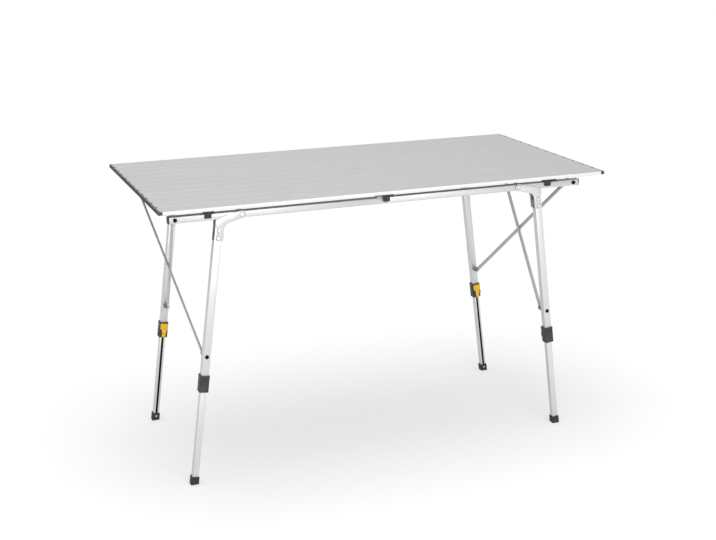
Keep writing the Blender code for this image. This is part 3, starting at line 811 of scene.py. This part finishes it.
def make_brackets():
    """Knee bracket: two pressed plates and a web, riveted to the leg and
    pinned through the rail."""
    u = UPPER[0]
    span = LEG_TOP_X - KNEE_X
    bend = off_leg(0.0145, -0.0021)
    foot = 0.0630
    points = arc(-KNEE_X, RAIL_Z, 0.0095, -75, 105, 16)
    points += [(-KNEE_X - 0.467 * span, RAIL_Z + 0.0048), off_leg(0.0008, u - 0.0010)]
    points += arc(*bend, 0.0085, 95, 172, 8)
    points += [off_leg(0.0230, -u - 0.0002), off_leg(0.0295, -u / 2)]
    points += [off_leg(foot - 0.0030, -0.0042), off_leg(foot - 0.0010, -0.0022)]
    points += [off_leg(foot, u + 0.0014), off_leg(foot - 0.0016, u + 0.0034)]
    points += [off_leg(0.0390, u + 0.0034), off_leg(0.0318, u + 0.0037)]
    points += [off_leg(0.0256, u + 0.0053), off_leg(0.0192, u + 0.0104)]
    y0 = -RAIL_Y - PLATE_Y - PLATE
    plate = trace([(x, y0, z) for x, z in points], (0, PLATE, 0))
    inner = copy_piece(plate, "inner_plate", move=(0, 2 * PLATE_Y + PLATE, 0))
    depth = PLATE_Y + PLATE - 0.0004
    web = block((u + 0.0006, -depth, up_leg(RAIL_Z - foot + 0.0035)),
                (u + 0.0022, depth, up_leg(RAIL_Z - 0.0360)))
    lean(web)
    join(plate, inner, web)
    soften(plate, 0.00035, 2, 50)
    dress(plate, "knee_bracket_plates", BRACKET_METAL)
    # The plates' rims and the web's face take the dark grey: painted shade along and between
    # the plates.
    plate.data.materials.append(BRACKET_PAINTED_SHADE)
    open_mesh(plate)
    pick(plate, "FACE", lambda f: abs(f.normal.y) < 0.3
         and abs(f.calc_center_median().y + RAIL_Y) < PLATE_Y + PLATE - 0.0001)
    plate.active_material_index = 1
    bpy.ops.object.material_slot_assign()
    close_mesh()
    at_corners(plate, "knee_bracket_plates", "leg", "bracket", "knee_bracket")
    for label, x, z, radius in (("knee_pin", -KNEE_X, RAIL_Z, 0.0056),
                                ("upper_rivet", *off_leg(0.0365, 0.0008), 0.0049),
                                ("lower_rivet", *off_leg(0.0555, 0.0008), 0.0049)):
        for face, side in (("outer", -1), ("inner", 1)):
            y = -RAIL_Y + side * (PLATE_Y + PLATE)
            head = button((x, y + side * 0.0009, z), "Y", side, radius, 0.0016, 0.0006)
            # A dark disc a little wider than the head: a painted contact shadow round each
            # rivet.
            shade_ring = rod((x, y + side * 0.0001, z), "Y", radius + 0.0009, 0.0008)
            soften(shade_ring, 0.0002, 2)
            dress(head, f"{label}_{face}", RIVET)
            dress(shade_ring, f"{label}_washer_{face}", RIVET_SHADE_RING)
            at_corners(head, f"{label}_{face}", "leg", "bracket")
            at_corners(shade_ring, f"{label}_washer_{face}", "leg", "bracket")


def make_sleeves():
    """Latch sleeve: a lipped collar with a stepped throat and two ears."""
    x, y, z = SLEEVE
    sleeve = block((-x, -y, -z), (x, y, z))
    bevel(sleeve, running(2), 0.0022, 4)
    lips = []
    for low, high, proud in ((-z, -z + 0.0028, 0.0002), (z - 0.0045, z - 0.0012, 0.0004)):
        lip = block((-x - proud, -y - proud, low), (x + proud, y + proud, high))
        lips.append(bevel(lip, running(2), 0.0024, 4))
    join(sleeve, *lips)
    throat = block((-UPPER[0] - GAP, -UPPER[1] - GAP, -z + 0.0052),
                   (UPPER[0] + GAP, UPPER[1] + GAP, z + 0.01))
    bevel(throat, running(2), 0.0012, 3)
    mouth = block((-LOWER[0] - GAP, -LOWER[1] - GAP, -z - 0.01),
                  (LOWER[0] + GAP, LOWER[1] + GAP, z))
    bevel(mouth, running(2), 0.0010, 3)
    cut(sleeve, throat, mouth)
    ear_x = 0.0082
    pin_y, pin_z = y + 0.0036, -0.0045
    ears = []
    for s in (-1, 1):
        ear = block((s * ear_x - 0.0014, y - 0.0015, pin_z - 0.0055),
                    (s * ear_x + 0.0014, pin_y + 0.0034, pin_z + 0.0060))
        bevel(ear, running(0, lambda p: p.y > y), 0.0026, 4)
        ears.append(ear)
    join(sleeve, *ears)
    cut(sleeve, block((-0.0058, y - 0.0011, -0.0206), (0.0058, y + 0.01, pin_z - 0.0059)))
    soften(sleeve, 0.0003, 2, 50)
    lean(sleeve)
    dress(sleeve, "latch_sleeve", SLEEVE_BLACK)
    at_corners(sleeve, "latch_sleeve", "leg", "black_plastic", "sleeve")
    return pin_y, pin_z


def make_levers(pin_y, pin_z):
    """Rocking lever: ridged thumb pad, narrow tongue, barrel on a steel pin."""
    y = SLEEVE[1]
    half, rise = LEVER_HALF, 0.0192
    pad = block((-half, y + 0.0010, pin_z + 0.0065), (half, y + 0.0048, rise))
    bevel(pad, running(1), 0.0020, 4)
    lip = block((-half + 0.0013, y + 0.0022, rise - 0.0032),
                (half - 0.0013, y + 0.0076, rise - 0.0003))
    bevel(lip, running(0, lambda p: p.y > y + 0.004), 0.0012, 3)
    ridges = []
    for step in range(3):
        z = pin_z + 0.0098 + step * 0.0032
        ridge = block((-half + 0.0028, y + 0.0040, z),
                      (half - 0.0028, y + 0.0056, z + 0.0012))
        ridges.append(bevel(ridge, running(0, lambda p: p.y > y + 0.005), 0.0005, 2))
    stem = block((-half + 0.0041, y + 0.0012, pin_z - 0.0037),
                 (half - 0.0041, y + 0.0062, pin_z + 0.0095))
    tongue = block((-half + 0.0055, y + 0.0016, -0.0200),
                   (half - 0.0055, y + 0.0044, pin_z - 0.0015))
    bevel(tongue, running(1, lambda p: p.z < -0.019), 0.0015, 3)
    barrel = rod((0, pin_y, pin_z), "X", 0.0030, 0.0126, 24)
    join(pad, lip, *ridges, stem, tongue, barrel)
    soften(pad, 0.00035, 2, 50)
    lean(pad)
    dress(pad, "latch_lever", YELLOW)
    at_corners(pad, "latch_lever", "lever", "yellow_plastic", "lever")
    pin = rod((0, pin_y, pin_z), "X", 0.0012, 0.0192, 16)
    soften(pin, 0.0003, 2)
    lean(pin)
    dress(pin, "latch_pin", STEEL)
    at_corners(pin, "latch_pin", "lever", "yellow_plastic")


def make_lower_legs():
    """Lower leg extrusion, with a black strip sunk in its inner face."""
    u, v = LOWER
    low, high = LEG_END + 0.0060, LOWER_TOP
    r, g, deep = 0.0018, STRIP_HALF, STRIP_DEPTH
    side = [(g, v - deep), (g, v - 0.0002), (g + 0.0002, v)]
    side += arc(u - r, v - r, r, 90, 0, 4) + arc(u - r, -v + r, r, 0, -90, 4)
    section = side + [(-a, b) for a, b in reversed(side)]
    tube = trace([(a, b, low) for a, b in section], (0, 0, high - low))
    soften(tube, 0.0002, 2, 50)
    lean(tube)
    dress(tube, "lower_leg_tube", LEG_METAL)
    at_corners(tube, "lower_leg_tube", "lower_leg", "leg", "lower_leg")
    strip = block((-g + 0.0002, v - deep - 0.0002, low + 0.011),
                  (g - 0.0002, v - 0.0003, high - 0.004))
    bevel(strip, running(2, lambda p: p.y > v - 0.001), 0.0005, 3)
    lean(strip)
    dress(strip, "lower_leg_strip", PIN_BLACK)
    at_corners(strip, "lower_leg_strip", "lower_leg", "black_plastic")


def make_feet():
    """Rubber foot, cut level at the floor, with a collar, treads and screw."""
    low = LEG_END
    x, y = FOOT
    shoe = block((-x, -y, low - 0.006), (x, y, low + FOOT_TOP))
    split(shoe, 2, (low + COLLAR_LOW,))
    open_mesh(shoe)
    pick(shoe, "VERT", lambda v: v.co.z > low + FOOT_TOP - 0.0004)
    bpy.ops.transform.resize(value=(COLLAR_TAPER, COLLAR_TAPER, 1))
    pick(shoe, "FACE", facing(2, 1))
    bpy.ops.mesh.inset(thickness=COLLAR_TAPER * x - LOWER[0] - GAP / 2, depth=0)
    bpy.ops.mesh.extrude_region_move(TRANSFORM_OT_translate={"value": (0, 0, -0.0155)})
    close_mesh()
    bevel(shoe, running(2, lambda p: abs(p.x) > x - 0.0001), 0.0016, 4)
    lean(shoe)
    slice_off(shoe, (0, 0, 0.0), (0, 0, -1))
    foot_x = -leg_x(0.0)
    grooves = []
    for step in (-0.0060, -0.0020, 0.0020, 0.0060):
        grooves.append(block((foot_x + step - 0.0007, -RAIL_Y - 0.03, -0.001),
                             (foot_x + step + 0.0007, -RAIL_Y + 0.03, 0.0011)))
    cut(shoe, *grooves)
    soften(shoe, 0.0004, 2, 50)
    dress(shoe, "foot_shoe", RUBBER)
    at_corners(shoe, "foot_shoe", "lower_leg", "rubber", "foot")
    screw = button((-leg_x(SCREW_Z), -RAIL_Y + y + 0.0001, SCREW_Z), "Y", 1,
                   0.0025, 0.0012, 0.0004)
    dress(screw, "foot_screw", RIVET)
    at_corners(screw, "foot_screw", "lower_leg", "rubber")


# Braces: scissor bars on swivel forks

LEG_PIVOT = Vector((-leg_x(BRACE_Z), 0, BRACE_Z))
RAIL_PIVOT = Vector((-BRACE_X, 0, RAIL_Z))
RUN = RAIL_PIVOT - LEG_PIVOT
ALONG = RUN.normalized()
ACROSS = Vector((0, 1, 0))
NORMAL = ALONG.cross(ACROSS)
BAR_OFFSET = 0.0150
HALF_SPAN = RAIL_Y - RAIL_HALF - BAR_OFFSET
BAR_LENGTH = math.hypot(RUN.length, 2 * HALF_SPAN)
BAR_THICK = 0.0044
BAR_HALF = 0.0049
BAR_SPLIT = BAR_THICK / 2 + GAP / 2


def brace_frame(front_low, offset):
    """Frame of a bar at the left end, from its leg pivot to its rail pivot."""
    y = -HALF_SPAN if front_low else HALF_SPAN
    x = (RUN + Vector((0, -2 * y, 0))).normalized()
    rot = Matrix((x, NORMAL.cross(x), NORMAL)).transposed().to_4x4()
    return Matrix.Translation(Vector((LEG_PIVOT.x, y, LEG_PIVOT.z)) + NORMAL * offset) @ rot


def make_bar(name, front_low, side):
    """Flat bar with round ends and the head of the crossing rivet."""
    t = BAR_THICK / 2
    bar = block((-BAR_HALF, -BAR_HALF, -t), (BAR_LENGTH + BAR_HALF, BAR_HALF, t))
    bevel(bar, running(2), BAR_HALF * 0.999, 10)
    bevel(bar, lambda e: all(abs(abs(v.co.z) - t) < 1e-6 for v in e.verts)
          and abs(e.verts[0].co.z - e.verts[1].co.z) < 1e-6, 0.0011, 3)
    bar.matrix_world = brace_frame(front_low, side * BAR_SPLIT)
    settle(bar)
    dress(bar, name, BRACE_METAL)
    head = button((BAR_LENGTH / 2, 0, side * (t + 0.0004)), "Z", side,
                  0.0056, 0.0014, 0.0004)
    head.matrix_world = brace_frame(front_low, side * BAR_SPLIT)
    settle(head)
    dress(head, name + "_rivet", STEEL)
    return bar, head


def make_fork(name, pivot, y_sign, side):
    """Swivel fork: round foot, two cheeks with round noses and a black pin."""
    base_y = BAR_OFFSET - GAP
    turn = Matrix((ALONG, ACROSS * y_sign, ALONG.cross(ACROSS * y_sign))).transposed()
    mid = side * BAR_SPLIT * y_sign
    foot = rod((0, -base_y + 0.0015, 0), "Y", 0.0064, 0.0030, 32)
    half = BAR_HALF + 0.0006
    inner = BAR_THICK / 2 + GAP
    cheeks = []
    for s in (-1, 1):
        z0, z1 = sorted((mid + s * inner, mid + s * (inner + 0.0018)))
        cheek = block((-half, -base_y + 0.0010, z0), (half, 0.0046, z1))
        cheeks.append(bevel(cheek, running(2, lambda p: p.y > 0), 0.0040, 6))
    join(foot, *cheeks)
    soften(foot, 0.0003, 2, 50)
    foot.matrix_world = Matrix.Translation(pivot) @ turn.to_4x4()
    settle(foot)
    dress(foot, name, FORK_GREY)
    reach = inner + 0.0018 + 0.0005
    pin = rod((0, 0, mid), "Z", 0.0019, 2 * reach, 20)
    soften(pin, 0.0004, 2)
    pin.matrix_world = Matrix.Translation(pivot) @ turn.to_4x4()
    settle(pin)
    dress(pin, name + "_pin", PIN_BLACK)
    return foot, pin


def make_braces():
    """The bar from the front leg lies outside at the left end and inside at
    the right end."""
    outward = 1 if NORMAL.x < 0 else -1
    for where, front_low, side in (("front", True, outward), ("rear", False, -outward)):
        other = "rear" if front_low else "front"
        leg_y = -HALF_SPAN if front_low else HALF_SPAN
        turn = 1 if front_low else -1
        low_at = Vector((LEG_PIVOT.x, leg_y, LEG_PIVOT.z))
        high_at = Vector((RAIL_PIVOT.x, -leg_y, RAIL_PIVOT.z))
        for end, s in (("left", side), ("right", -side)):
            bar, head = make_bar(f"brace_bar_{where}_{end}", front_low, s)
            low, low_pin = make_fork(f"leg_fork_piece_{where}_{end}", low_at, turn, s)
            high, high_pin = make_fork(f"rail_fork_piece_{other}_{end}", high_at, -turn, s)
            made = ((bar, f"brace_{where}_{end}", "brace", f"brace_{where}_{end}"),
                    (head, f"brace_{where}_{end}", "brace", None),
                    (low, f"leg_fork_{where}_{end}", "black_plastic",
                     f"leg_fork_{where}_{end}"),
                    (low_pin, f"leg_fork_{where}_{end}", "black_plastic", None),
                    (high, f"rail_fork_{other}_{end}", "black_plastic",
                     f"rail_fork_{other}_{end}"),
                    (high_pin, f"rail_fork_{other}_{end}", "black_plastic", None))
            for piece, body, slot, node in made:
                if end == "right":
                    name = piece.name
                    twin = copy_piece(piece, name + "_turned", (-1, 1, 1))
                    bpy.data.objects.remove(piece, do_unlink=True)
                    twin.name = name
                    twin.data.name = name
                    piece = twin
                mount(piece, body, slot, *([node] if node else []))


# Studio

PAPER_SEEN = 0.58
PAPER_PLAIN = 0.75
GLOW_REACH = 10.0
GLOW_DIP = 0.255
GLOW_FAR = 0.755
CAMERA_AT = (-1.2138, -3.1122, 1.4441)
CAMERA_YAW, CAMERA_PITCH, CAMERA_ROLL = -21.53, 16.545, -0.205
FOCAL_PIXELS, PHOTO_WIDTH = 1253.5, 716
SENSOR = 36


def studio_floor():
    """Pale sweep that shows white and keeps the table's soft shadow."""
    let_go()
    bpy.ops.mesh.primitive_plane_add(size=60, location=(0, 8, -0.0002))
    floor = settle(bpy.context.object)
    floor.name = "studio_floor"
    mat = bpy.data.materials.new("studio_floor_paper")
    mat.use_nodes = True
    nodes, links = mat.node_tree.nodes, mat.node_tree.links
    nodes.clear()
    out = nodes.new("ShaderNodeOutputMaterial")
    paper = nodes.new("ShaderNodeBsdfDiffuse")
    paper.inputs["Color"].default_value = (*[PAPER_SEEN] * 3, 1)
    plain = nodes.new("ShaderNodeBsdfDiffuse")
    plain.inputs["Color"].default_value = (*[PAPER_PLAIN] * 3, 1)
    glow = nodes.new("ShaderNodeEmission")
    links.new(paper_glow(nodes, links), glow.inputs["Strength"])
    seen = nodes.new("ShaderNodeAddShader")
    links.new(paper.outputs[0], seen.inputs[0])
    links.new(glow.outputs[0], seen.inputs[1])
    choose = nodes.new("ShaderNodeMixShader")
    links.new(seen_by_eye(nodes, links), choose.inputs[0])
    links.new(plain.outputs[0], choose.inputs[1])
    links.new(seen.outputs[0], choose.inputs[2])
    links.new(choose.outputs[0], out.inputs["Surface"])
    floor.data.materials.append(mat)


def paper_glow(nodes, links):
    """What the lamps leave short of white on the paper, more away from the
    table: GLOW_FAR - GLOW_DIP * (REACH / (REACH + distance ** 2)) ** 2, where
    REACH is GLOW_REACH."""
    place = nodes.new("ShaderNodeTexCoord")
    steps = [("ADD", GLOW_REACH), ("DIVIDE", GLOW_REACH), ("POWER", 2.0),
             ("MULTIPLY", -GLOW_DIP), ("ADD", GLOW_FAR)]
    dot = nodes.new("ShaderNodeVectorMath")
    dot.operation = "DOT_PRODUCT"
    links.new(place.outputs["Object"], dot.inputs[0])
    links.new(place.outputs["Object"], dot.inputs[1])
    value = dot.outputs["Value"]
    for operation, number in steps:
        node = nodes.new("ShaderNodeMath")
        node.operation = operation
        first, second = (1, 0) if operation == "DIVIDE" else (0, 1)
        links.new(value, node.inputs[first])
        node.inputs[second].default_value = number
        value = node.outputs[0]
    return value


def seen_by_eye(nodes, links):
    """1 for rays from the camera, or by way of metal or glass."""
    path = nodes.new("ShaderNodeLightPath")
    first = nodes.new("ShaderNodeMath")
    first.operation = "MAXIMUM"
    links.new(path.outputs["Is Camera Ray"], first.inputs[0])
    links.new(path.outputs["Is Glossy Ray"], first.inputs[1])
    second = nodes.new("ShaderNodeMath")
    second.operation = "MAXIMUM"
    links.new(first.outputs[0], second.inputs[0])
    links.new(path.outputs["Is Transmission Ray"], second.inputs[1])
    return second.outputs[0]


def studio_world():
    """Soft light all round, and white where the eye meets it."""
    world = bpy.data.worlds.new("studio_white")
    bpy.context.scene.world = world
    world.use_nodes = True
    nodes, links = world.node_tree.nodes, world.node_tree.links
    nodes.clear()
    out = nodes.new("ShaderNodeOutputWorld")
    soft = nodes.new("ShaderNodeBackground")
    soft.inputs["Strength"].default_value = 0.55
    white = nodes.new("ShaderNodeBackground")
    white.inputs["Color"].default_value = (1, 1, 1, 1)
    white.inputs["Strength"].default_value = 1.0
    choose = nodes.new("ShaderNodeMixShader")
    links.new(seen_by_eye(nodes, links), choose.inputs[0])
    links.new(soft.outputs[0], choose.inputs[1])
    links.new(white.outputs[0], choose.inputs[2])
    links.new(choose.outputs[0], out.inputs["Surface"])


def softbox(name, at, towards, size, power):
    """A square lamp that looks at a point."""
    let_go()
    bpy.ops.object.light_add(type="AREA", location=at)
    lamp = bpy.context.object
    lamp.name = name
    lamp.data.shape = "SQUARE"
    lamp.data.size = size
    lamp.data.energy = power
    lamp.rotation_euler = (Vector(towards) - Vector(at)).to_track_quat("-Z", "Y").to_euler()


def place_camera():
    """The camera solved from the photograph's perspective."""
    let_go()
    bpy.ops.object.camera_add(location=CAMERA_AT)
    camera = bpy.context.object
    camera.data.sensor_width = SENSOR
    camera.data.lens = SENSOR * FOCAL_PIXELS / PHOTO_WIDTH
    turn = (Matrix.Rotation(math.radians(CAMERA_YAW), 4, "Z")
            @ Matrix.Rotation(math.radians(90 - CAMERA_PITCH), 4, "X")
            @ Matrix.Rotation(math.radians(CAMERA_ROLL), 4, "Z"))
    camera.rotation_euler = turn.to_euler()
    bpy.context.scene.camera = camera


make_slats()
make_rails()
make_hinges()
make_clips()
make_upper_legs()
make_brackets()
make_levers(*make_sleeves())
make_lower_legs()
make_feet()
make_braces()
studio_floor()
studio_world()
softbox("key_softbox", (-0.30, 0.05, 3.2), (0, 0, 0.3), 2.0, 38)
softbox("fill_softbox", (2.6, -1.8, 2.2), (0, 0, 0.4), 2.4, 8)
softbox("front_softbox", (0.1, -4.4, 1.5), (0, 0, 0.4), 3.0, 95)
place_camera()
bpy.context.scene.view_settings.view_transform = "Standard"
let_go()
